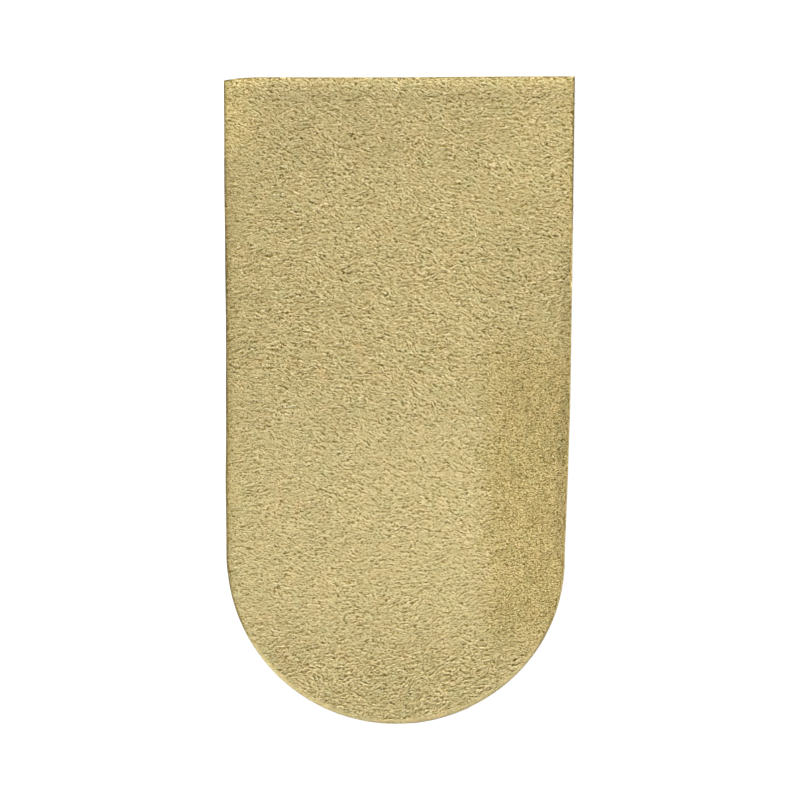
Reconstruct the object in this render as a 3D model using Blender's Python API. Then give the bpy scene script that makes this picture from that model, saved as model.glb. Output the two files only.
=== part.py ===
"""A heel lift for the inside of a shoe: a firm tapered wedge with a brushed suede cover.

The lift lies on its flat sole. +Y points to the thin straight front edge, -Y to the round
heel, +X to the side that draws in more, and +Z up. The origin is under the middle of the
lift, on the sole. All sizes are in metres.
"""
import math

import bmesh
import bpy
from mathutils import Vector

# Outline, seen from above
LIFT_LENGTH = 0.1053        # heel end to front edge
FRONT_WIDTH = 0.0570        # across the straight front edge
HEEL_WIDTH = 0.0551         # across the sides, where the round heel begins
HEEL_DEPTH = 0.0275         # from there to the heel end
HEEL_SHIFT = -0.0006        # middle of the heel, sideways from the middle of the front edge
CORNER_RUN = 0.0035         # the left front corner is trimmed off over this length
CORNER_DROP = 0.0007        # and by this much at most

# Heights
WEDGE_HEEL_HEIGHT = 0.0080  # wedge alone, under the heel
WEDGE_FRONT_HEIGHT = 0.0009  # wedge alone, at the front edge
PLATFORM_LENGTH = 0.0360    # level stretch at the heel end, before the taper begins
COVER_THICKNESS = 0.0012

# Fits and edges
SEAT_GAP = 0.0003           # the cover lies this far above the wedge
COVER_SETBACK = 0.00015     # the wedge shows past the cover's edge by this much
COVER_ROLL = 0.0006         # radius of the cover's rounded upper edge
SOLE_BREAK = 0.0003         # bevel round the sole

# How far each long side has moved from its place at the front edge to its place where
# the round heel begins, as shares of that move; along is the share of the side's length.
SIDE_COLUMNS = ("along", "left", "right")
SIDES = (
    (0.00, 0.00, 0.00),
    (0.25, 0.30, 0.16),
    (0.50, 0.65, 0.32),
    (0.68, 0.85, 0.42),
    (0.84, 0.92, 0.67),
    (1.00, 1.00, 1.00),
)

CORNER_STEPS = 4            # facets of the trimmed corner
SIDE_STEPS = 18             # facets along each long side
HEEL_STEPS = 20             # facets of each half of the heel
ROLL_STEPS = 3              # facets of the rounded upper edge

COVER_COLOUR = (0.54, 0.44, 0.20, 1.0)
WEDGE_COLOUR = (0.030, 0.028, 0.027, 1.0)


def side_share(along, column):
    """Share of the side's move at a share of its length, read between the table's rows."""
    at = SIDE_COLUMNS.index(column)
    for low, high in zip(SIDES, SIDES[1:]):
        if along <= high[0]:
            part = (along - low[0]) / (high[0] - low[0])
            return low[at] + (high[at] - low[at]) * part
    return SIDES[-1][at]


def sides_at(y):
    """Left and right x of the long sides, between the front edge and the round heel."""
    front = LIFT_LENGTH / 2
    along = (front - y) / (LIFT_LENGTH - HEEL_DEPTH)
    left_move = HEEL_SHIFT - HEEL_WIDTH / 2 + FRONT_WIDTH / 2
    left = -FRONT_WIDTH / 2 + left_move * side_share(along, "left")
    right_move = HEEL_SHIFT + HEEL_WIDTH / 2 - FRONT_WIDTH / 2
    right = FRONT_WIDTH / 2 + right_move * side_share(along, "right")
    return left, right


def outline():
    """The loop of 2-D points and the place of the heel end in it.

    It runs down the left side from the front edge, round the heel and up the right side.
    From the heel end the two sides match point for point, up to the trimmed corner.
    """
    front = LIFT_LENGTH / 2
    spring = HEEL_DEPTH - LIFT_LENGTH / 2
    left, right = [], [Vector((FRONT_WIDTH / 2, front))]
    for step in range(CORNER_STEPS):  # the trimmed corner is a parabola, level at first
        share = step / CORNER_STEPS
        y = front - CORNER_DROP * share ** 2
        left.append(Vector((sides_at(y)[0] + CORNER_RUN * (1 - share), y)))
    side_front = front - CORNER_DROP
    for step in range(SIDE_STEPS):
        y = side_front + (spring - side_front) * step / SIDE_STEPS
        left_x, right_x = sides_at(y)
        left.append(Vector((left_x, y)))
        if step > 0:
            right.append(Vector((right_x, y)))
    for step in range(HEEL_STEPS):  # the heel is two quarter ellipses, by even turns
        turn = math.pi / 2 * step / HEEL_STEPS
        half = HEEL_WIDTH / 2 * math.cos(turn)
        y = spring - HEEL_DEPTH * math.sin(turn)
        left.append(Vector((HEEL_SHIFT - half, y)))
        right.append(Vector((HEEL_SHIFT + half, y)))
    heel_end = Vector((HEEL_SHIFT, -LIFT_LENGTH / 2))
    return left + [heel_end] + right[::-1], len(left)


def inset(ring, distance):
    """The loop moved inwards by a distance, with mitred corners."""
    moved = []
    for i, point in enumerate(ring):
        before = (point - ring[i - 1]).normalized()
        after = (ring[(i + 1) % len(ring)] - point).normalized()
        inward_before = Vector((-before.y, before.x))
        inward_after = Vector((-after.y, after.x))
        mitre = (inward_before + inward_after) / (1 + inward_before.dot(inward_after))
        moved.append(point + mitre * distance)
    return moved


def wedge_top(y):
    """Height of the wedge: level under the heel, then easing down to the front edge."""
    taper_length = LIFT_LENGTH - PLATFORM_LENGTH
    share = (LIFT_LENGTH / 2 - y) / taper_length
    share = max(0.0, min(1.0, share))
    rise = (3 * share - share ** 3) / 2
    return WEDGE_FRONT_HEIGHT + (WEDGE_HEEL_HEIGHT - WEDGE_FRONT_HEIGHT) * rise


def cap(bm, ring, heel_end, top):
    """Closes a loop with strips from side to side, beginning at the heel end."""
    reach = len(ring) - 1 - heel_end
    faces = []
    for step in range(reach - 1):
        left = ring[heel_end - step - 1], ring[heel_end - step]
        right = ring[heel_end + step], ring[heel_end + step + 1]
        faces.append([*left, right[1]] if step == 0 else [*left, *right])
    faces.append(ring[:heel_end - reach + 2] + ring[heel_end + reach - 1:])
    for face in faces:
        bm.faces.new(face if top else face[::-1])


def loft(name, rings, heel_end):
    """A closed solid through loops of 3-D points, given from the lowest to the highest."""
    bm = bmesh.new()
    loops = [[bm.verts.new(point) for point in ring] for ring in rings]
    for low, high in zip(loops, loops[1:]):
        for i in range(len(low)):
            j = (i + 1) % len(low)
            bm.faces.new((low[i], low[j], high[j], high[i]))
    cap(bm, loops[0], heel_end, top=False)
    cap(bm, loops[-1], heel_end, top=True)
    mesh = bpy.data.meshes.new(name)
    bm.to_mesh(mesh)
    bm.free()
    mesh.shade_smooth()
    mesh.set_sharp_from_angle(angle=math.radians(30))
    return mesh


def raised(ring, height):
    """The 2-D loop lifted to a height that is given as a function of y."""
    return [(point.x, point.y, height(point.y)) for point in ring]


def finish(name, colour, roughness):
    """A plain matt material."""
    material = bpy.data.materials.new(name)
    material.use_nodes = True
    shader = material.node_tree.nodes["Principled BSDF"]
    shader.inputs["Base Color"].default_value = colour
    shader.inputs["Roughness"].default_value = roughness
    shader.inputs["Metallic"].default_value = 0.0
    return material


def place(name, mesh, material, parent, height):
    """Puts a piece under its parent, at a height above the sole."""
    mesh.materials.append(material)
    piece = bpy.data.objects.new(name, mesh)
    bpy.context.scene.collection.objects.link(piece)
    piece.parent = parent
    piece.location = (0, 0, height)


def wedge_mesh():
    """The firm body: bevelled sole, upright cut side, tapering top."""
    ring, heel_end = outline()
    rings = [
        raised(inset(ring, SOLE_BREAK), lambda y: 0.0),
        raised(ring, lambda y: SOLE_BREAK),
        raised(ring, wedge_top),
    ]
    return loft("wedge", rings, heel_end)


def cover_mesh():
    """The suede sheet, as thick all over, with a rounded upper edge.

    Its heights are measured from its own underside on the heel platform.
    """
    ring, heel_end = outline()
    ring = inset(ring, COVER_SETBACK)

    def underside(y):
        return wedge_top(y) - WEDGE_HEEL_HEIGHT

    rings = [raised(ring, underside)]
    for step in range(ROLL_STEPS + 1):
        turn = math.pi / 2 * step / ROLL_STEPS
        inward = COVER_ROLL * (1 - math.cos(turn))
        height = COVER_THICKNESS - COVER_ROLL * (1 - math.sin(turn))
        rings.append(raised(inset(ring, inward), lambda y: underside(y) + height))
    return loft("top_cover", rings, heel_end)


def main():
    for old in list(bpy.data.objects):
        bpy.data.objects.remove(old)
    lift = bpy.data.objects.new("heel_lift", None)
    bpy.context.scene.collection.objects.link(lift)

    place("wedge", wedge_mesh(), finish("dark rubber", WEDGE_COLOUR, 0.85), lift, 0.0)
    place(
        "top_cover", cover_mesh(), finish("tan suede", COVER_COLOUR, 0.95), lift,
        WEDGE_HEEL_HEIGHT + SEAT_GAP,
    )


main()
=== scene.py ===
import math

import bpy
import numpy as np
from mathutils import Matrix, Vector


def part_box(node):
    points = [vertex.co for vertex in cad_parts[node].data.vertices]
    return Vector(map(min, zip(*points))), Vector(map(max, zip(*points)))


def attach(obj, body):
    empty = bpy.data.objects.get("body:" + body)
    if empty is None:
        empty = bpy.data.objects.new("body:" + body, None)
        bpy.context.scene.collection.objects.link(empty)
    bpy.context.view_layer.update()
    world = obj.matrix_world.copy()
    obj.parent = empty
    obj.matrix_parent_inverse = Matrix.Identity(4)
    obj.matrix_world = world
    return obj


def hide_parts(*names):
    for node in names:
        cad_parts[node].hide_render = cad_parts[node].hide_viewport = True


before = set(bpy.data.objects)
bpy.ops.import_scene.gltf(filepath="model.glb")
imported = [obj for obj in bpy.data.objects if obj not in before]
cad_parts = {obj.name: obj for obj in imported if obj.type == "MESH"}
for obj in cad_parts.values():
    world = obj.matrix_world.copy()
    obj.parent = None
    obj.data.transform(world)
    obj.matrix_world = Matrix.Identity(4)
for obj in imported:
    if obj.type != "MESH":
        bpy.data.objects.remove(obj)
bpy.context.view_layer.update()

mm = 0.001
wedgeLow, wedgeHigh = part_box("wedge")
coverLow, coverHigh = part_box("top_cover")


# Plan and profile of the lift

lift = {
    "front": wedgeHigh[1], "heelEnd": wedgeLow[1],   # the two ends, read from the frame
    "halfFront": (wedgeHigh[0] - wedgeLow[0]) / 2,
    "heelWidth": 55.1 * mm, "heelDepth": 27.5 * mm, "heelShift": -0.6 * mm,
    "cornerRun": 6.5 * mm, "cornerDrop": 0.58 * mm,   # the trimmed left front corner
    "frontAcross": (-1.0, -0.8, -0.4, 0.0, 0.4, 1.0),   # shares across the front edge,
    "proudFront": (0.08, 0.09, 0.05, 0.06, 0.17, 0.24),   # and how far it runs out there, mm
    "proudSide": (0.06 * mm, 0.12 * mm),             # and past the two front corners, sideways
    "proudHeel": 0.05 * mm, "heelBulge": 0.30 * mm,   # past the heel end, and its right quarter
    "sideAlong": (0.00, 0.25, 0.50, 0.68, 0.84, 1.00),   # shares along the long sides
    "sideLeft": (0.00, 0.15, 0.92, 0.88, 0.72, 1.00),    # how far each side has drawn in there
    "sideRight": (0.00, 0.16, 0.32, 0.45, 0.69, 1.00),
    "platform": 36.0 * mm,                           # level stretch under the heel
    "wedgeHeel": wedgeHigh[2], "wedgeFront": 0.9 * mm,
    "sideSteps": 200, "heelSteps": 80,               # points worked out along a side and its heel
    "coverTop": coverHigh[2] - wedgeHigh[2],         # the cover's face above the wedge's
}
lift["spring"] = lift["heelEnd"] + lift["heelDepth"]   # where the round heel begins


def sideX(y, side, inset):
    # x of a long side. The side moves from its place at the front to its place at the
    # heel by the shares in the table; inset moves it inwards.
    along = (lift["front"] - y) / (lift["front"] - lift["spring"])
    share = np.interp(along, lift["sideAlong"], lift["sideLeft" if side < 0 else "sideRight"])
    atFront = side * (lift["halfFront"] + lift["proudSide"][0 if side < 0 else 1])
    atHeel = lift["heelShift"] + side * lift["heelWidth"] / 2
    return atFront + (atHeel - atFront) * share - side * inset


def frontY(x):
    # y of the front edge, which is cut by hand and runs a little askew.
    proud = np.interp(x / lift["halfFront"], lift["frontAcross"], lift["proudFront"])
    return lift["front"] + proud * mm


def evenly(points, count):
    # The same path with count points, evenly spaced by its length.
    steps = np.hypot(*np.diff(points, axis=0).T)
    length = np.concatenate([[0], np.cumsum(steps)])
    at = np.linspace(0, length[-1], count)
    return np.column_stack([np.interp(at, length, points[:, k]) for k in (0, 1)])


def heelProud(angle, right):
    # How far the cover stands out past the ellipse of the heel at an angle down from its
    # side: proudHeel times sin, and on the right heelBulge times sin(2 angle) cos^2 more.
    bulge = lift["heelBulge"] * np.sin(2 * angle) * np.cos(angle) ** 2
    return lift["proudHeel"] * np.sin(angle) + np.where(right, bulge, 0)


def sidePath(side, inset, count, turn):
    # From a front corner down a long side and round the heel by a turn in radians:
    # the side's own line, then an ellipse's cos and sin.
    drop = lift["cornerDrop"] if side < 0 else 0.0
    start = frontY(side * lift["halfFront"]) - max(drop, inset)
    y = np.linspace(start, lift["spring"], lift["sideSteps"])
    straight = np.column_stack([sideX(y, side, inset), y])
    angle = np.linspace(0, turn, lift["heelSteps"])[1:]
    inset = inset - heelProud(angle, side > 0)
    x = lift["heelShift"] + side * (lift["heelWidth"] / 2 - inset) * np.cos(angle)
    y = lift["spring"] - (lift["heelDepth"] - inset) * np.sin(angle)
    return evenly(np.vstack([straight, np.column_stack([x, y])]), count)


def heelPath(inset, count, turn):
    # The rest of the round heel, left to right, by even angles.
    angle = np.linspace(turn, math.pi - turn, count)
    inset = inset - heelProud(np.minimum(angle, math.pi - angle), angle > math.pi / 2)
    x = lift["heelShift"] - (lift["heelWidth"] / 2 - inset) * np.cos(angle)
    y = lift["spring"] - (lift["heelDepth"] - inset) * np.sin(angle)
    return np.column_stack([x, y])


def frontPath(inset, count):
    # The front edge, left to right: straight, less a parabola at the trimmed corner.
    left = sideX(lift["front"] - max(lift["cornerDrop"], inset), -1, inset)
    x = np.linspace(left, sideX(lift["front"] - inset, 1, inset), count)
    short = np.clip(1 - (x - left) / lift["cornerRun"], 0, 1)
    drop = max(lift["cornerDrop"] - inset, 0)
    return np.column_stack([x, frontY(x) - inset - drop * short ** 2])


def inward(x, y):
    # How far a point lies inside the outline: the least of its distances from the
    # front, from each side, and in the heel from the ellipse.
    straight = np.minimum(x - sideX(y, -1, 0), sideX(y, 1, 0) - x)
    short = np.clip(1 - (x - sideX(y, -1, 0)) / lift["cornerRun"], 0, 1)
    straight = np.minimum(straight, frontY(x) - lift["cornerDrop"] * short ** 2 - y)
    across = (x - lift["heelShift"]) / (lift["heelWidth"] / 2)
    down = (lift["spring"] - y) / lift["heelDepth"]
    far = np.maximum(np.hypot(across, down), 0.01)
    angle = np.arctan2(np.maximum(down, 0), np.abs(across))
    rounded = (1 - far) * lift["heelDepth"] + heelProud(angle, across > 0)
    return np.where(y > lift["spring"], straight, rounded)


def wedgeTop(y):
    # Height of the wedge: from the front, (3s - s^3) / 2 of its rise at a share s of the
    # taper, then level.
    taper = lift["front"] - lift["heelEnd"] - lift["platform"]
    s = np.clip((lift["front"] - y) / taper, 0, 1)
    return lift["wedgeFront"] + (lift["wedgeHeel"] - lift["wedgeFront"]) * (3 * s - s ** 3) / 2


# Fields on the plan, that the sheet and the nap share

plan = {"cell": 0.085 * mm, "halfX": 29.5 * mm, "halfY": 53.6 * mm, "seed": 41}
planX = np.arange(-plan["halfX"], plan["halfX"], plan["cell"])
planY = np.arange(-plan["halfY"], plan["halfY"], plan["cell"])
gridX, gridY = np.meshgrid(planX, planY)


def sample(field, x, y):
    # A field's value at any point of the plan, straight between the cells' corners.
    u = np.clip((x + plan["halfX"]) / plan["cell"], 0, len(planX) - 1.001)
    v = np.clip((y + plan["halfY"]) / plan["cell"], 0, len(planY) - 1.001)
    i, j = u.astype(int), v.astype(int)
    u, v = u - i, v - j
    low = field[j, i] * (1 - u) + field[j, i + 1] * u
    high = field[j + 1, i] * (1 - u) + field[j + 1, i + 1] * u
    return low * (1 - v) + high * v


def cloud(seed, size, tall=1.0, band=None):
    # Soft random patches of about one size, mean 0 and spread 1: white noise times a
    # Gaussian in the frequency plane. tall draws them out along y, and band takes away
    # the patches that many times larger, which leaves even spacing.
    noise = np.random.default_rng(plan["seed"] + seed).standard_normal(gridX.shape)
    fx = np.fft.rfftfreq(gridX.shape[1], plan["cell"])[None, :]
    fy = np.fft.fftfreq(gridX.shape[0], plan["cell"])[:, None] * tall
    square = (fx ** 2 + fy ** 2) * (size * 1.2) ** 2
    reach = np.exp(-square)
    if band:
        reach = reach - np.exp(-square * band ** 2)
    soft = np.fft.irfft2(np.fft.rfft2(noise) * reach, gridX.shape)
    return (soft - soft.mean()) / soft.std()


def ramp(value, start, end):
    # 0 before start, 1 after end, and 3t^2 - 2t^3 between.
    t = np.clip((value - start) / (end - start), 0, 1)
    return t * t * (3 - 2 * t)


combing = {                     # how the nap lies, in degrees down to the right
    "across": (-1.0, -0.5, 0.0, 0.4, 0.8, 1.0),        # shares of the half width
    "along": (1.0, 0.5, 0.0, -0.4, -0.7, -1.0),        # shares of the half length
    "lean": (
        (12, 14, 18, 14, 2, 0),
        (2, 9, 17, 11, 8, 4),
        (2, 14, 23, 23, 10, -30),
        (8, 9, 8, 4, -4, -40),
        (2, 5, -6, -4, -2, -20),
        (10, 8, -18, -8, -4, -20),
    ),
    "stray": 10, "strayFine": 12,                      # wandering of the lean, degrees
    "straySize": 3.4 * mm, "strayFineSize": 1.0 * mm,
}


def combedLean():
    # Angle of the nap over the plan, in radians, + turning up to the right: the table,
    # read straight between its rows and columns, plus two clouds.
    shareX, shareY = planX / lift["halfFront"], planY / lift["front"]
    rows = [np.interp(shareX, combing["across"], row) for row in combing["lean"]]
    table = np.array([
        np.interp(shareY, combing["along"][::-1], column[::-1]) for column in np.array(rows).T
    ]).T
    table = table + combing["stray"] * cloud(1, combing["straySize"])
    table = table + combing["strayFine"] * cloud(2, combing["strayFineSize"])
    return -np.radians(table)


lean = combedLean()
leanX, leanY = np.cos(lean), np.sin(lean)


def combed(base, length):
    # A field drawn out along the nap: at each point, the mean along the nap's own line
    # over a length, by cos^2 weights, with mean 0 and spread 1.
    step = 0.12 * mm
    total = base.copy()
    for way in (1, -1):
        x, y = gridX, gridY
        for k in range(1, int(length / 2 / step) + 1):
            x, y = x + way * step * sample(leanX, x, y), y + way * step * sample(leanY, x, y)
            fade = math.cos(math.pi / 2 * k * step / (length / 2 + step)) ** 2
            total = total + fade * sample(base, x, y)
    return (total - total.mean()) / total.std()


pile = {                        # the patterns of the pile: their sizes, and how even they are
    "strokeSize": 0.235 * mm, "strokeBand": 2.4, "strokeLength": 0.45 * mm,
    "tuftSize": 0.50 * mm, "tuftBand": 2.0, "tuftLength": 1.3 * mm,
    "dotSize": 0.24 * mm, "dotBand": 1.5,
    "lineSize": 0.30 * mm, "lineTall": 16.0,
    "patchSize": 2.0 * mm, "swellSize": 1.6 * mm, "roughSize": 1.7 * mm,
    "strokes": 0.95, "tufts": 0.32, "ridgeTufts": 0.12,   # what each adds to the grain
    "dots": 0.85, "dotStrokes": 0.5,                      # the same in the rubbed strip
    "leftCalm": 0.35, "rimCalm": 0.7,                     # less grain on the left and at the heel's rim
}

# strands that catch the light
strokes = combed(cloud(3, pile["strokeSize"], band=pile["strokeBand"]), pile["strokeLength"])
# locks of many strands
tufts = combed(cloud(4, pile["tuftSize"], band=pile["tuftBand"]), pile["tuftLength"])
dots = cloud(7, pile["dotSize"], band=pile["dotBand"])       # the grain of the rubbed strip
lines = cloud(8, pile["lineSize"], tall=pile["lineTall"])    # its fine lines along the lift
patches = cloud(5, pile["patchSize"])                        # slow changes of hue
swell = cloud(6, pile["swellSize"])                          # soft bumps under the nap
rough = cloud(9, pile["roughSize"])                          # where the nap is more broken
print("plan fields", gridX.shape)

wear = {                                     # where the nap is rubbed, worn or pressed, and where light and shade are painted on
    "stripLeft": 17.5 * mm, "stripFade": 6.0 * mm,      # the rubbed strip, by x
    "stripFront": 16.0 * mm, "stripHeel": -46.0 * mm, "stripEnds": 14.0 * mm,   # and by y
    "stripShade": -0.005, "lineShade": 0.05, "stripWander": 0.8 * mm,
    "leftMargin": 2.0 * mm, "leftShade": -0.19,         # dark margin on the left
    "leftFront": 42 * mm, "leftFade": 7 * mm,           # weaker towards the front
    "rightMargin": 2.6 * mm, "rightShade": -0.16,
    "rightFront": 28 * mm, "rightHeel": -28 * mm, "rightFade": 6 * mm, "rightEdge": 1 * mm,
    "cornerShade": 0.14, "cornerWide": 7 * mm, "cornerTall": 8 * mm,   # pale left front corner
    "farShade": 0.09,                                   # and paler on the right at the front,
    "farX": (11 * mm, 20 * mm), "farY": (26 * mm, 38 * mm),   # from here on
    "frontBand": 1.6 * mm, "frontShade": 0.10,          # pale pressed band at the front
    "crease": 3.1 * mm, "creaseWidth": 0.9 * mm, "creaseShadow": -0.08,   # painted shade of a crease behind it
    "heelRim": 0.85 * mm, "heelShade": 0.10, "rimTone": 0.5,   # pale smooth rim round the heel
    "heelPart": (0.35, 0.7),                            # it begins at these shares of the heel
    "rolled": 0.36 * mm, "rolledLight": 0.80,           # painted light where the rolled edge turns from the lamp,
    "rolledX": (20 * mm, 26 * mm), "rolledY": (24 * mm, 34 * mm),   # right of and behind here
    "calm": 0.34, "calmRidges": 0.16,                   # less contrast: middle, right front
    "calmFront": (-4 * mm, 6 * mm), "calmHeel": (-45 * mm, -37 * mm),   # where the middle ends, by y
    "cut": 0.35 * mm, "leftRollShadow": -0.11,                # painted shade on the left edge where it rolls down
    "cutX": (20 * mm, 27 * mm), "cutEnd": 8 * mm,       # it fades out over this on the heel
    # brightness along the lift: partly painted light, brighter towards the heel where the lamp lights
    # the face less, partly the suede's own
    "along": (1.0, 0.9, 0.78, 0.6, 0.15, -0.03, -0.3, -0.6, -0.7, -1.0),   # shares of the half length
    "alongToneAndLight": (0.98, 0.91, 0.92, 0.97, 1.0, 1.03, 1.15, 1.16, 1.13, 1.07),
    "across": (-1.0, -0.5, 0.35, 0.6, 1.0),             # and of the half width
    "acrossShade": (0.965, 0.975, 1.03, 0.98, 0.985),
    "patchShade": 0.006,
    "ridgesX": (9 * mm, 16 * mm), "ridgesY": (27 * mm, 34 * mm),   # thicker locks from here on
    "roughness": 0.28, "smoothEdge": 6.5 * mm,
    "goldBase": 0.33, "goldEdge": 4.0 * mm, "goldEdgeShare": 0.4,   # how golden the places are
    "goldCut": 0.5, "goldCutWide": (0.3 * mm, 1.2 * mm), "goldFade": 10 * mm,
    "goldCorner": 0.5, "goldCornerX": (20 * mm, 26 * mm), "goldCornerY": (36 * mm, 44 * mm),
}


def rubbed(x, y):
    # 0 to 1: the rubbed strip, a product of ramps along x and y.
    edge = wear["stripLeft"] + sample(patches, x, y) * wear["stripWander"]
    strip = ramp(x, edge - wear["stripFade"], edge)
    strip = strip * ramp(wear["stripFront"] - y, 0, wear["stripEnds"])
    return strip * ramp(y - wear["stripHeel"], 0, wear["stripEnds"])


def leftEdge(x, y):
    # 0 to 1: the left long side, where the cover is cut shortest.
    return ramp(-x, *wear["cutX"]) * ramp(y - lift["spring"], -wear["cutEnd"], 0)


def heelPart(y):
    # 0 to 1: the rear part of the round heel.
    return ramp((lift["spring"] - y) / lift["heelDepth"], *wear["heelPart"])


def heelRim(x, y):
    # 0 to 1: the pale rim round the heel, by the distance inside the outline.
    return (1 - ramp(inward(x, y), 0.5 * wear["heelRim"], wear["heelRim"])) * heelPart(y)


def paintedRollLight(x, y):
    # 0 to 1: the rolled edge of the right side and the heel, where light is painted on because the edge
    #         turns from the lamp.
    rolled = 1 - ramp(inward(x, y), 0.1 * wear["rolled"], wear["rolled"])
    side = ramp(x, *wear["rolledX"]) * (1 - ramp(y, *wear["rolledY"]))
    return rolled * np.maximum(side, heelPart(y))


def calmAt(x, y):
    # 0 to 1: the even, paler middle of the rear half.
    calm = (1 - ramp(y, *wear["calmFront"])) * ramp(y, *wear["calmHeel"])
    return calm * (1 - rubbed(x, y))


def ridgesAt(x, y):
    # 0 to 1: the thicker locks at the right front.
    return ramp(x, *wear["ridgesX"]) * ramp(y, *wear["ridgesY"])


def contrastAt(x, y):
    # How strong the grain is: weaker in the middle of the rear half and at the right front.
    return (1 - wear["calm"] * calmAt(x, y)) * (1 - wear["calmRidges"] * ridgesAt(x, y))


def shadeAt(x, y):
    # Brightness of the suede over the plan, about 1: margins, bands and slow patches, with painted
    # light and shade on the rolled edges, at the crease and along the lift.
    # along the lift, partly painted light: brighter where the lamp lights the face less
    shade = np.interp(-y / lift["front"], [-a for a in wear["along"]], wear["alongToneAndLight"])
    shade = shade * np.interp(x / lift["halfFront"], wear["across"], wear["acrossShade"])
    shade = shade + wear["patchShade"] * sample(patches, x, y)
    fromLeft, fromRight = x - sideX(y, -1, 0), sideX(y, 1, 0) - x
    left = 1 - ramp(fromLeft, 0, wear["leftMargin"])
    left = left * (1 - 0.9 * ramp(y, wear["leftFront"] - wear["leftFade"], wear["leftFront"]))
    right = 1 - ramp(fromRight, 0.3 * wear["rightMargin"], wear["rightMargin"])
    right = right * ramp(fromRight, 0, wear["rightEdge"])
    right = right * ramp(wear["rightFront"] - y, 0, wear["rightFade"])
    right = right * ramp(y - wear["rightHeel"], 0, wear["rightFade"])
    front = lift["front"] - y
    corner = 1 - ramp(fromLeft, 0.3 * wear["cornerWide"], wear["cornerWide"])
    corner = corner * (1 - ramp(front, wear["cornerTall"], 2 * wear["cornerTall"]))
    far = ramp(x, *wear["farX"]) * ramp(y, *wear["farY"])
    band = 1 - ramp(front, 0.5 * wear["frontBand"], wear["frontBand"])
    # painted shade of a slight crease behind the pale front band
    crease = np.exp(-((front - wear["crease"]) / wear["creaseWidth"]) ** 2)
    inside = inward(x, y)
    # painted shade on the rolled left edge
    cut = (1 - ramp(inside, 0.6 * wear["cut"], wear["cut"])) * leftEdge(x, y)
    strip = rubbed(x, y) * (wear["stripShade"] + wear["lineShade"] * sample(lines, x, y))
    return (shade + wear["leftShade"] * left + wear["rightShade"] * right + strip
            + wear["frontShade"] * band + wear["creaseShadow"] * crease
            + wear["heelShade"] * heelRim(x, y) + wear["leftRollShadow"] * cut
            # painted light on the rolled edge of the right side and the heel
            + wear["rolledLight"] * paintedRollLight(x, y)
            + wear["cornerShade"] * corner + wear["farShade"] * far)


def goldAt(x, y):
    # 0 to 1: how golden the suede is: a little all over but for the even middle, and more
    # in the rubbed strip, along the sides and at the left front corner.
    sides = np.minimum(x - sideX(y, -1, 0), sideX(y, 1, 0) - x)
    edges = wear["goldEdgeShare"] * (1 - ramp(sides, 0, wear["goldEdge"]))
    edges = edges + wear["goldCut"] * (1 - ramp(sides, *wear["goldCutWide"]))
    corner = ramp(-x, *wear["goldCornerX"]) * ramp(y, *wear["goldCornerY"])
    most = np.maximum(rubbed(x, y), edges * ramp(y - lift["spring"], 0, wear["goldFade"]))
    most = np.maximum(most, wear["goldCorner"] * corner)
    return most + (1 - most) * wear["goldBase"] * (1 - calmAt(x, y))


def grainAt(x, y):
    # Which strands stand out, mean 0 and spread about 1: strokes and tufts, or in the
    # rubbed strip mostly dots.
    worn = rubbed(x, y)
    stroke = sample(strokes, x, y)
    locks = (pile["tufts"] + pile["ridgeTufts"] * ridgesAt(x, y)) * sample(tufts, x, y)
    plain = (pile["strokes"] * stroke + locks) * (1 + wear["roughness"] * sample(rough, x, y))
    smooth = 1 - ramp(x - sideX(y, -1, 0), 0, wear["smoothEdge"])
    plain = plain * (1 - pile["leftCalm"] * smooth)
    dotted = pile["dots"] * sample(dots, x, y) + pile["dotStrokes"] * stroke
    grain = plain * (1 - worn) + worn * dotted
    rim = heelRim(x, y)
    return grain * (1 - pile["rimCalm"] * rim) + wear["rimTone"] * rim


cover = {
    "inset": 0.0,                       # how far its edge lies inside the outline
    "roll": 0.45 * mm, "rollSteps": 5,  # rounded upper edge
    "underGap": 0.04 * mm,              # glue line between the wedge and the cover
    "across": 130, "along": 232,        # points of the grid
    "felt": 0.03 * mm,                  # the hide lies this far under the nap's own face
    "rimTone": 1.8,                     # as pale as the nap at the heel's rim, without the pits' painted shade, and painted light on the rolled edge
    "wallTone": 1.15, "wallShade": 0.96, "wallGold": 0.6,   # its upright cut edge, plain and even
    "turn": math.radians(45),           # the grid's corners on the round heel
    "tuftHeight": 0.032 * mm, "strokeHeight": 0.020 * mm, "swellHeight": 0.022 * mm,
    "rubbedFlat": 0.6,                  # how much the rubbed strip takes off the tufts
    "flatEdge": (0.1 * mm, 0.9 * mm),   # the relief begins over this distance inside
}


def faceAt(x, y, fine=1.0):
    # Height of the cover's face: the wedge's top and the sheet, plus tufts, strokes and
    # soft bumps that fade at the edge, less the fall r - sqrt(r^2 - (r - d)^2) of the
    # rounded edge at a distance d inside. fine is the share of the strokes.
    inside = inward(x, y)
    relief = cover["tuftHeight"] * sample(tufts, x, y) * (1 - cover["rubbedFlat"] * rubbed(x, y))
    relief = (relief + cover["strokeHeight"] * fine * sample(strokes, x, y)) * contrastAt(x, y)
    relief = relief + cover["swellHeight"] * sample(swell, x, y)
    r = cover["roll"]
    short = np.clip(r - (inside - cover["inset"]), 0, r)
    fall = r - np.sqrt(np.maximum(r * r - short * short, 0))
    return wedgeTop(y) + lift["coverTop"] + relief * ramp(inside, *cover["flatEdge"]) - fall


# Meshes

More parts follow.
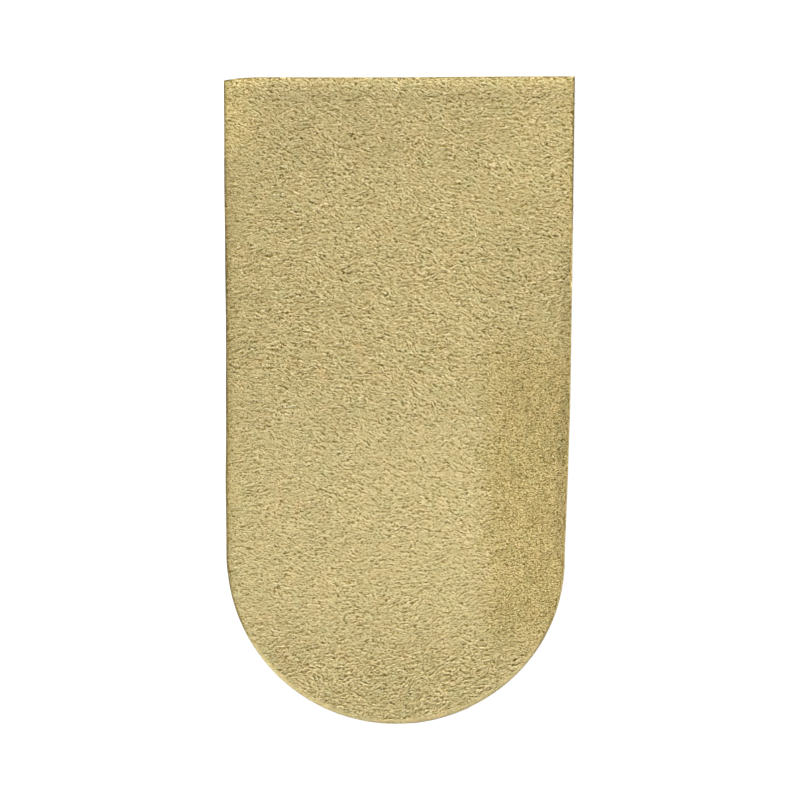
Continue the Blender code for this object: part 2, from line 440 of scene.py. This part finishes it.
def addPiece(name, points, faces, material, smooth=True):
    # A mesh object at the origin from whole arrays. faces is a list of arrays, each with
    # a row of corners for a face.
    mesh = bpy.data.meshes.new(name)
    sizes = np.concatenate([np.full(len(block), block.shape[1]) for block in faces])
    corners = np.concatenate([block.ravel() for block in faces])
    mesh.vertices.add(len(points))
    mesh.vertices.foreach_set("co", np.asarray(points, np.float32).ravel())
    mesh.loops.add(len(corners))
    mesh.loops.foreach_set("vertex_index", corners.astype(np.int32))
    mesh.polygons.add(len(sizes))
    mesh.polygons.foreach_set("loop_start", (np.cumsum(sizes) - sizes).astype(np.int32))
    mesh.polygons.foreach_set("use_smooth", np.full(len(sizes), smooth))
    mesh.update(calc_edges=True)
    mesh.validate()
    mesh.materials.append(material)
    piece = bpy.data.objects.new(name, mesh)
    bpy.context.scene.collection.objects.link(piece)
    return piece


def addValues(piece, name, values):
    # A number for each point of a piece, for its material to read.
    attribute = piece.data.attributes.new(name, "FLOAT", "POINT")
    attribute.data.foreach_set("value", np.asarray(values, np.float32))


def edgeLoop(inset, along, across):
    # The outline as one loop, moved inwards: down the left side, along the heel, up the
    # right side and back along the front.
    left = sidePath(-1, inset, along, cover["turn"])
    right = sidePath(1, inset, along, cover["turn"])
    heel = heelPath(inset, across, cover["turn"])
    front = frontPath(inset, across)
    return np.vstack([left, heel[1:], right[-2::-1], front[-2:0:-1]])


def joinLoops(low, high):
    # The faces between two loops of point numbers, the high one above or inside.
    return np.stack([low, np.roll(low, -1), np.roll(high, -1), high], -1)


def stripCap(loop, along, across, up):
    # Closes a loop from edgeLoop with strips from side to side and one face at each end.
    left, heel = loop[:along], loop[along - 1:along + across - 1]
    right = loop[along + across - 2:2 * along + across - 2][::-1]
    front = np.append(loop[2 * along + across - 3:], loop[0])[::-1]
    strips = np.stack([left[1:-2], left[2:-1], right[2:-1], right[1:-2]], -1)
    ends = [np.concatenate([front[::-1], left[1:2], right[1:2]])[None],
            np.concatenate([right[-2:-1], left[-2:-1], heel])[None]]
    faces = [strips] + ends
    return faces if up else [block[:, ::-1] for block in faces]


def planMap(piece, flipped):
    # A UV map over the plan: faces in the right half of the picture where flipped, for the
    # underside, and in the left half elsewhere.
    mesh = piece.data
    index = np.empty(len(mesh.loops), np.int32)
    mesh.loops.foreach_get("vertex_index", index)
    co = np.empty(len(mesh.vertices) * 3, np.float32)
    mesh.vertices.foreach_get("co", co)
    co = co.reshape(-1, 3)[index]
    u = 0.25 + co[:, 0] / (4 * plan["halfX"]) + np.where(flipped, 0.5, 0.0)
    v = 0.5 + co[:, 1] / (2 * plan["halfY"])
    mesh.uv_layers.new(name="OFBake").data.foreach_set("uv", np.column_stack([u, v]).ravel())


def makeCover(material):
    # The suede sheet as one closed shell: a grid blended from its four edge curves (each
    # point the sum of the two straight blends between opposite edges, less the blend of
    # the corners), then loops round the rolled edge, by cos and sin of a turn, down to the
    # underside, which strips close.
    rows, cols = cover["along"], cover["across"]
    inner = edgeLoop(cover["inset"] + cover["roll"], rows, cols)
    left, heel = inner[:rows], inner[rows - 1:rows + cols - 1]
    right = inner[rows + cols - 2:2 * rows + cols - 2][::-1]
    front = np.vstack([inner[2 * rows + cols - 3:], inner[:1]])[::-1]
    u = np.linspace(0, 1, cols)[None, :, None]
    v = np.linspace(0, 1, rows)[:, None, None]
    corner = (1 - u) * (1 - v) * front[0] + u * (1 - v) * front[-1]
    corner = corner + (1 - u) * v * heel[0] + u * v * heel[-1]
    blend = (1 - v) * front[None] + v * heel[None]
    blend = blend + (1 - u) * left[:, None] + u * right[:, None] - corner
    x, y = blend[..., 0].ravel(), blend[..., 1].ravel()
    points = [np.column_stack([x, y, faceAt(x, y, 0.0) - cover["felt"]])]
    grid = np.arange(rows * cols).reshape(rows, cols)
    quads = np.stack([grid[:-1, :-1], grid[1:, :-1], grid[1:, 1:], grid[:-1, 1:]], -1)
    faces = [quads.reshape(-1, 4)]
    high = np.concatenate([grid[:, 0], grid[-1, 1:], grid[-2::-1, -1], grid[0, -2:0:-1]])
    total = rows * cols
    for step in range(1, cover["rollSteps"] + 2):
        turn = math.pi / 2 * (1 - min(step / cover["rollSteps"], 1))
        ring = edgeLoop(cover["inset"] + cover["roll"] * (1 - math.cos(turn)), rows, cols)
        z = wedgeTop(ring[:, 1]) + lift["coverTop"] - cover["roll"] * (1 - math.sin(turn))
        if step > cover["rollSteps"]:
            z = wedgeTop(ring[:, 1]) + cover["underGap"]
        points.append(np.column_stack([ring, z]))
        low = total + np.arange(len(high))
        faces.append(joinLoops(low, high))
        high, total = low, total + len(high)
    under = stripCap(high, rows, cols, up=False)
    points = np.vstack(points)
    piece = addPiece("suede_cover", points, faces + under, material)
    loops = sum(block.size for block in under)
    planMap(piece, np.arange(len(piece.data.loops)) >= len(piece.data.loops) - loops)
    x, y = points[:, 0], points[:, 1]
    addValues(piece, "along", np.zeros(len(x)))
    # the pale heel rim, and painted light where the rolled edge turns from the lamp
    pale = np.maximum(heelRim(x, y), paintedRollLight(x, y))
    wall = np.arange(len(x)) >= total - 2 * len(high)   # the last two loops
    tone = grainAt(x, y) * contrastAt(x, y) + cover["rimTone"] * pale
    addValues(piece, "tone", np.where(wall, cover["wallTone"], tone))
    addValues(piece, "shade", np.where(wall, cover["wallShade"], shadeAt(x, y)))
    addValues(piece, "gold", np.where(wall, cover["wallGold"], goldAt(x, y)))
    addValues(piece, "hue", sample(patches, x, y))
    return piece


nap = {
    "layers": (   # name, spacing, length, half width, height, tone, least grain
        # the tone paints shade and light by depth: the under layer darker, the tips paler
        ("nap_under", 0.362 * mm, 0.48 * mm, 0.088 * mm, 0.035 * mm, -0.45, -9.0),
        ("nap_body_a", 0.320 * mm, 0.49 * mm, 0.084 * mm, 0.055 * mm, 0.0, -0.75),
        ("nap_body_b", 0.320 * mm, 0.49 * mm, 0.084 * mm, 0.065 * mm, 0.05, -0.75),
        ("nap_body_c", 0.320 * mm, 0.49 * mm, 0.084 * mm, 0.075 * mm, 0.10, -0.75),
        ("nap_tips", 0.262 * mm, 0.54 * mm, 0.078 * mm, 0.085 * mm, 0.25, 0.0),
    ),
    "spread": 0.35,                        # how the length varies
    "stray": 21,                           # of one strand from the combing, degrees
    "rubbedStray": 24,                     # the same in the rubbed strip
    "rubbedLength": 0.65, "rubbedHeight": 0.9,   # what the strip leaves of them
    "widest": 0.45,                        # where a strand is widest, share of the length
    "ridge": 0.4,                          # how far its sides fall there, share of half the width
    "rootRise": -0.4, "sideRise": 0.5,     # heights of the root and the sides, shares of the tip's
    "widths": (0.75, 1.25), "heights": (0.5, 1.5),   # least and most, shares of the layer's
    "sway": 0.06,                          # sideways bow, share of the length
    "edge": 0.08 * mm,                     # no strand's middle nearer to the outline
    "fringe": 0.03 * mm, "fringeRight": 0.06 * mm,   # more or less than that, by the tufts
    "fringeX": (20 * mm, 27 * mm), "fringeY": (5 * mm, 30 * mm),
    "edgeLength": 0.5, "edgeWide": 0.8 * mm,   # shorter strands along the outline
    "grainTone": 0.75, "ownTone": 0.45, "ownHue": 0.7,
}


def makeNap(layer, seed, material):
    # One layer of the pile. Each strand is a closed spike of four points: root, left,
    # right and tip. place = middle + length times (t - 0.5) along the nap, with t 0 at the
    # root and 1 at the tip, and half the width to each side where it is widest.
    name, gap, reach, half, height, tone, least = layer
    rng = np.random.default_rng(plan["seed"] * 7 + seed)
    columns, rows = np.arange(planX[0], planX[-1], gap), np.arange(planY[0], planY[-1], gap)
    x, y = np.meshgrid(columns, rows)
    x = x.ravel() + rng.uniform(-0.5, 0.5, x.size) * gap
    y = y.ravel() + rng.uniform(-0.5, 0.5, y.size) * gap
    ragged = nap["fringeRight"] * ramp(x, *nap["fringeX"]) * ramp(y, *nap["fringeY"])
    near = inward(x, y) + (nap["fringe"] + ragged) * sample(tufts, x, y)
    keep = (near > nap["edge"]) & (grainAt(x, y) > least)
    x, y = x[keep], y[keep]
    count = len(x)
    worn = rubbed(x, y)
    stray = nap["stray"] + (nap["rubbedStray"] - nap["stray"]) * worn
    angle = sample(lean, x, y) + np.radians(stray) * rng.standard_normal(count)
    length = reach * (1 + nap["spread"] * rng.uniform(-1, 1, count))
    length = length * (1 - (1 - nap["rubbedLength"]) * worn)
    inner = ramp(inward(x, y), 0, nap["edgeWide"])
    length = length * (nap["edgeLength"] + (1 - nap["edgeLength"]) * inner)
    wide = half * rng.uniform(*nap["widths"], count)
    sway = nap["sway"] * length * rng.standard_normal(count)
    contrast = contrastAt(x, y)
    rise = height * rng.uniform(*nap["heights"], count) * contrast
    rise = rise * (1 - (1 - nap["rubbedHeight"]) * worn)
    alongX, alongY = np.cos(angle), np.sin(angle)
    corners = (                                      # t, side, and share of the rise
        (0, 0, nap["rootRise"]), (nap["widest"], 1, nap["sideRise"]),
        (nap["widest"], -1, nap["sideRise"]), (1, 0, 1.0),
    )
    points = []
    for t, side, share in corners:
        ahead = length * (t - 0.5)
        out = side * wide + (sway if side else 0)
        px, py = x + alongX * ahead - alongY * out, y + alongY * ahead + alongX * out
        fall = nap["ridge"] * wide * abs(side)
        points.append(np.column_stack([px, py, faceAt(px, py) + rise * share - fall]))
    points = np.stack(points, 1).reshape(-1, 3)
    pattern = np.array([[0, 3, 1], [0, 2, 3], [0, 1, 2], [3, 2, 1]])
    faces = (np.arange(count)[:, None, None] * 4 + pattern[None]).reshape(-1, 3)
    piece = addPiece(name, points, [faces], material, smooth=False)
    # root -1 to tip +1, for the painted shade at the root and painted light at the tip
    addValues(piece, "along", np.tile([-1.0, 0.0, 0.0, 1.0], count))
    own = nap["grainTone"] * grainAt(x, y) + nap["ownTone"] * rng.standard_normal(count)
    # the layer's tone: painted shade low in the pile, painted light at the tips
    addValues(piece, "tone", np.repeat(own * contrast + tone, 4))
    addValues(piece, "shade", np.repeat(shadeAt(x, y), 4))
    addValues(piece, "gold", np.repeat(goldAt(x, y), 4))
    hue = sample(patches, x, y) + nap["ownHue"] * rng.standard_normal(count)
    addValues(piece, "hue", np.repeat(hue, 4))
    cellMap(piece, count)
    print(name, count, "strands,", len(faces), "triangles")
    return piece


def cellMap(piece, count):
    # A UV map with a square cell for each strand, row by row: the root at the cell's left,
    # the tip at its right, and the two sides above and below.
    side = math.ceil(math.sqrt(count))
    cell = np.arange(count)
    corner = np.column_stack([cell % side, cell // side])[:, None, None] + 0.1
    root, left, right, tip = [0, 0.5], [0.5, 1], [0.5, 0], [1, 0.5]
    faces = [[root, tip, left], [root, right, tip], [root, left, right], [tip, right, left]]
    uv = (corner + np.array(faces)[None] * 0.8) / side
    piece.data.uv_layers.new(name="OFBake").data.foreach_set("uv", uv.ravel())


wedge = {
    "along": 200, "across": 90,           # points of each loop
    "soleBreak": 0.3 * mm, "wallRows": 14,
    "ground": 0.015 * mm,                 # depth of the grinding marks on the cut side
    "wander": 0.03 * mm,                  # slow wandering of the hand-cut outline
    "proud": -0.10 * mm, "leftProud": 0.20 * mm,   # how far it shows past the cover's edge
    "frontProud": -0.05 * mm,             # less at the front of that side
    "rearProud": -0.05 * mm,              # and less towards the heel
    "heelProud": 0.14 * mm, "heelFrom": 0.5 * mm, "heelTo": 13 * mm,   # and a patch at the heel
    "frontY": (18 * mm, 28 * mm), "rearY": (-8 * mm, 4 * mm),   # where these begin, by y
    "heelY": (-47 * mm, -44 * mm), "heelFade": 2 * mm,
    "slowWaves": (7, 11, 17, 23), "shortWaves": (31, 67, 113),   # waves to a turn
}


def waves(rng, turn, counts):
    # The mean of sine waves round the outline, each at a random phase.
    return sum(np.sin(turn * k + rng.uniform(0, 2 * math.pi)) / len(counts) for k in counts)


def makeWedge(material):
    # The firm body: loops from the sole's bevel up the cut side to the top, each moved in
    # or out by waves: short ones that differ from row to row, for the grinding marks, and
    # long ones that all rows share.
    rng = np.random.default_rng(plan["seed"] + 60)
    rows, cols = wedge["along"], wedge["across"]
    count = len(edgeLoop(0, rows, cols))
    turn = np.linspace(0, 2 * math.pi, count, endpoint=False)
    slow = waves(rng, turn, wedge["slowWaves"])
    points, faces, low = [], [], None
    for row in range(wedge["wallRows"] + 2):
        share = max(row - 1, 0) / wedge["wallRows"]
        marks = waves(rng, turn, wedge["shortWaves"])
        inset = wedge["soleBreak"] if row == 0 else 0.0
        ring = edgeLoop(inset, rows, cols)
        ahead = np.roll(ring, -1, axis=0) - np.roll(ring, 1, axis=0)
        ahead = ahead / np.linalg.norm(ahead, axis=1, keepdims=True)
        inwards = np.column_stack([-ahead[:, 1], ahead[:, 0]])
        depth = wedge["wander"] * slow + wedge["ground"] * marks - wedge["proud"]
        x, y = ring.T
        front = wedge["frontProud"] * ramp(y, *wedge["frontY"])
        behind = wedge["rearProud"] * (1 - ramp(y, *wedge["rearY"]))
        depth = depth - leftEdge(x, y) * (wedge["leftProud"] + front + behind)
        patch = ramp(x - wedge["heelFrom"], 0, wedge["heelFade"])
        patch = patch * ramp(wedge["heelTo"] - x, 0, wedge["heelFade"])
        depth = depth - wedge["heelProud"] * patch * (1 - ramp(y, *wedge["heelY"]))
        ring = ring + inwards * depth[:, None]
        base = wedge["soleBreak"] if row else 0.0
        z = base + (wedgeTop(ring[:, 1]) - base) * share
        points.append(np.column_stack([ring, z]))
        high = row * count + np.arange(count)
        if low is not None:
            faces.append(joinLoops(low, high))
        low = high
    faces += stripCap(np.arange(count), rows, cols, up=False)
    faces += stripCap(low, rows, cols, up=True)
    return addPiece("rubber_wedge", np.vstack(points), faces, material)


# Materials

def newMaterial(name, roughness):
    # A material with its tree and its shader.
    material = bpy.data.materials.new(name)
    material.use_nodes = True
    tree = material.node_tree
    shader = tree.nodes["Principled BSDF"]
    shader.inputs["Roughness"].default_value = roughness
    return material, tree, shader


def node(tree, kind, inputs=None, **settings):
    # Adds a node, sets its properties, and fills its inputs with sockets or values.
    made = tree.nodes.new(kind)
    for key, value in settings.items():
        setattr(made, key, value)
    for key, value in (inputs or {}).items():
        if hasattr(value, "is_output"):
            tree.links.new(value, made.inputs[key])
        else:
            made.inputs[key].default_value = value
    return made


def maths(tree, kind, *values):
    # A Math node over sockets or numbers.
    return node(tree, "ShaderNodeMath", dict(enumerate(values)), operation=kind).outputs[0]


def mixColour(tree, factor, a, b, blend="MIX"):
    # A colour mix of sockets or values.
    made = node(tree, "ShaderNodeMix", {0: factor, 6: a, 7: b}, data_type="RGBA", blend_type=blend)
    return made.outputs[2]


def reading(tree, name):
    # A number that was written on the points of the piece.
    return node(tree, "ShaderNodeAttribute", attribute_name=name).outputs["Fac"]


suede = {
    "stops": (                                       # colour by tone, dark to pale
        (0.00, (0.077, 0.053, 0.009, 1)),
        (0.28, (0.189, 0.140, 0.037, 1)),
        (0.56, (0.404, 0.333, 0.155, 1)),
        (1.00, (0.660, 0.580, 0.354, 1)),
    ),
    "middle": 0.52, "toneGain": 0.167, "rootShadeGain": 0.10,
    "green": (0.94, 1.02, 0.98, 1), "warm": (1.06, 0.98, 0.97, 1), "hueGain": 0.10,
    "clean": (1.0, 1.003, 1.055, 1), "gold": (1.005, 0.968, 0.885, 1),   # even and worn places
    "specular": 0.15, "sheen": 0.08, "sheenRoughness": 0.5,
    "pitShade": 0.30, "feltScale": 5200.0, "feltDepth": 0.08 * mm,   # the hide under the nap, darker: painted shade in the pits between the strands
}


def suedeColour(tree, lower):
    # The place on the ramp is the middle + gains times tone and place along the strand,
    # which paints shade at the root and light at the tip, and the colour is the ramp's,
    # times a greener or warmer tint, times the shade.
    middle = suede["middle"] - lower
    level = maths(tree, "MULTIPLY_ADD", reading(tree, "tone"), suede["toneGain"], middle)
    # painted shade at the root and painted light at the tip
    level = maths(tree, "MULTIPLY_ADD", reading(tree, "along"), suede["rootShadeGain"], level)
    ramps = node(tree, "ShaderNodeValToRGB", {0: level})
    stops = ramps.color_ramp.elements
    for place, colour in suede["stops"][2:]:
        stops.new(place)
    for k, (place, colour) in enumerate(suede["stops"]):
        stops[k].position = place
        stops[k].color = colour
    hue = maths(tree, "MULTIPLY_ADD", reading(tree, "hue"), suede["hueGain"], 0.5)
    tint = mixColour(tree, hue, suede["green"], suede["warm"])
    worn = mixColour(tree, reading(tree, "gold"), suede["clean"], suede["gold"])
    tint = mixColour(tree, 1.0, tint, worn, "MULTIPLY")
    shade = reading(tree, "shade")
    grey = node(tree, "ShaderNodeCombineColor", {0: shade, 1: shade, 2: shade}).outputs[0]
    tinted = mixColour(tree, 1.0, ramps.outputs[0], tint, "MULTIPLY")
    return mixColour(tree, 1.0, tinted, grey, "MULTIPLY")


def napMaterial():
    # The strands: matt, with a little sheen.
    material, tree, shader = newMaterial("suede nap", 0.9)
    tree.links.new(suedeColour(tree, 0.0), shader.inputs["Base Color"])
    shader.inputs["Sheen Weight"].default_value = suede["sheen"]
    shader.inputs["Sheen Roughness"].default_value = suede["sheenRoughness"]
    shader.inputs["Specular IOR Level"].default_value = suede["specular"]
    return material


def coverMaterial():
    # The hide under the nap: darker, as painted shade in the pits between the strands, with fine felted
    # bumps.
    material, tree, shader = newMaterial("suede ground", 0.95)
    tree.links.new(suedeColour(tree, suede["pitShade"]), shader.inputs["Base Color"])
    where = node(tree, "ShaderNodeTexCoord").outputs["Object"]
    felt = {"Vector": where, "Scale": suede["feltScale"], "Detail": 3.0}
    height = node(tree, "ShaderNodeTexNoise", felt).outputs[0]
    bump = {"Strength": 0.5, "Distance": suede["feltDepth"], "Height": height}
    tree.links.new(node(tree, "ShaderNodeBump", bump).outputs[0], shader.inputs["Normal"])
    shader.inputs["Specular IOR Level"].default_value = suede["specular"]
    return material


rubber = {
    "dark": (0.022, 0.018, 0.015, 1), "pale": (0.070, 0.058, 0.050, 1),
    "grainScale": 2600.0, "grainDepth": 0.1 * mm,
}


def rubberMaterial():
    # Dark soling rubber: fine grain, paler where the grain stands higher.
    material, tree, shader = newMaterial("dark rubber", 0.8)
    where = node(tree, "ShaderNodeTexCoord").outputs["Object"]
    grain = {"Vector": where, "Scale": rubber["grainScale"], "Detail": 4.0}
    grain = node(tree, "ShaderNodeTexNoise", grain).outputs[0]
    colour = mixColour(tree, grain, rubber["dark"], rubber["pale"])
    tree.links.new(colour, shader.inputs["Base Color"])
    bump = {"Strength": 0.6, "Distance": rubber["grainDepth"], "Height": grain}
    tree.links.new(node(tree, "ShaderNodeBump", bump).outputs[0], shader.inputs["Normal"])
    return material


# The stage: floor, light and camera

stage = {
    "floorGlow": 1.0, "floorPale": 0.12, "floorSize": 1.6,
    "sky": 0.33,
    "keyPlace": (-0.75, 1.35, 1.65), "keySize": 0.9, "keyPower": 96.0,
    "pixels": 800, "perMetre": 6133.0,        # the picture's side and its pixels to a metre
    "middle": (399.4, 400.55),                # pixel over the lift's middle
    "height": 0.6,
}


def makeStage():
    # A pale glowing floor, one large soft lamp and an even sky.
    size = stage["floorSize"]
    material, tree, shader = newMaterial("white floor", 0.9)
    shader.inputs["Base Color"].default_value = (stage["floorPale"],) * 3 + (1,)
    shader.inputs["Emission Color"].default_value = (1, 1, 1, 1)
    shader.inputs["Emission Strength"].default_value = stage["floorGlow"]
    shader.inputs["Specular IOR Level"].default_value = 0.0
    corners = [(-size, -size, 0), (size, -size, 0), (size, size, 0), (-size, size, 0)]
    addPiece("floor", corners, [np.array([[0, 1, 2, 3]])], material, smooth=False)

    lamp = bpy.data.lights.new("soft lamp", "AREA")
    lamp.energy, lamp.size = stage["keyPower"], stage["keySize"]
    key = bpy.data.objects.new("soft lamp", lamp)
    key.location = stage["keyPlace"]
    key.rotation_euler = (-Vector(stage["keyPlace"])).to_track_quat("-Z", "Y").to_euler()
    bpy.context.scene.collection.objects.link(key)

    world = bpy.data.worlds.new("even sky")
    world.use_nodes = True
    back = world.node_tree.nodes["Background"]
    back.inputs[0].default_value = (1, 1, 1, 1)
    back.inputs[1].default_value = stage["sky"]
    bpy.context.scene.world = world


def makeCamera():
    # Straight down, parallel, so that the plan falls on the photograph's own pixels.
    data = bpy.data.cameras.new("camera")
    data.type = "ORTHO"
    data.ortho_scale = stage["pixels"] / stage["perMetre"]
    data.clip_start, data.clip_end = 0.01, 10
    camera = bpy.data.objects.new("camera", data)
    half = stage["pixels"] / 2
    camera.location = (
        (half - stage["middle"][0]) / stage["perMetre"],
        (stage["middle"][1] - half) / stage["perMetre"],
        stage["height"],
    )
    bpy.context.scene.collection.objects.link(camera)
    bpy.context.scene.camera = camera
    bpy.context.scene.view_settings.view_transform = "Standard"


makeStage()
makeCamera()
print("stage and camera")

sheet = makeCover(coverMaterial())
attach(sheet, "root")
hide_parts("top_cover")
print("suede cover", len(sheet.data.polygons), "faces")

strandMaterial = napMaterial()
for seed, layer in enumerate(nap["layers"]):
    piece = makeNap(layer, seed, strandMaterial)
    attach(piece, "root")

body = makeWedge(rubberMaterial())
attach(body, "root")
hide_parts("wedge")
print("rubber wedge", len(body.data.polygons), "faces")
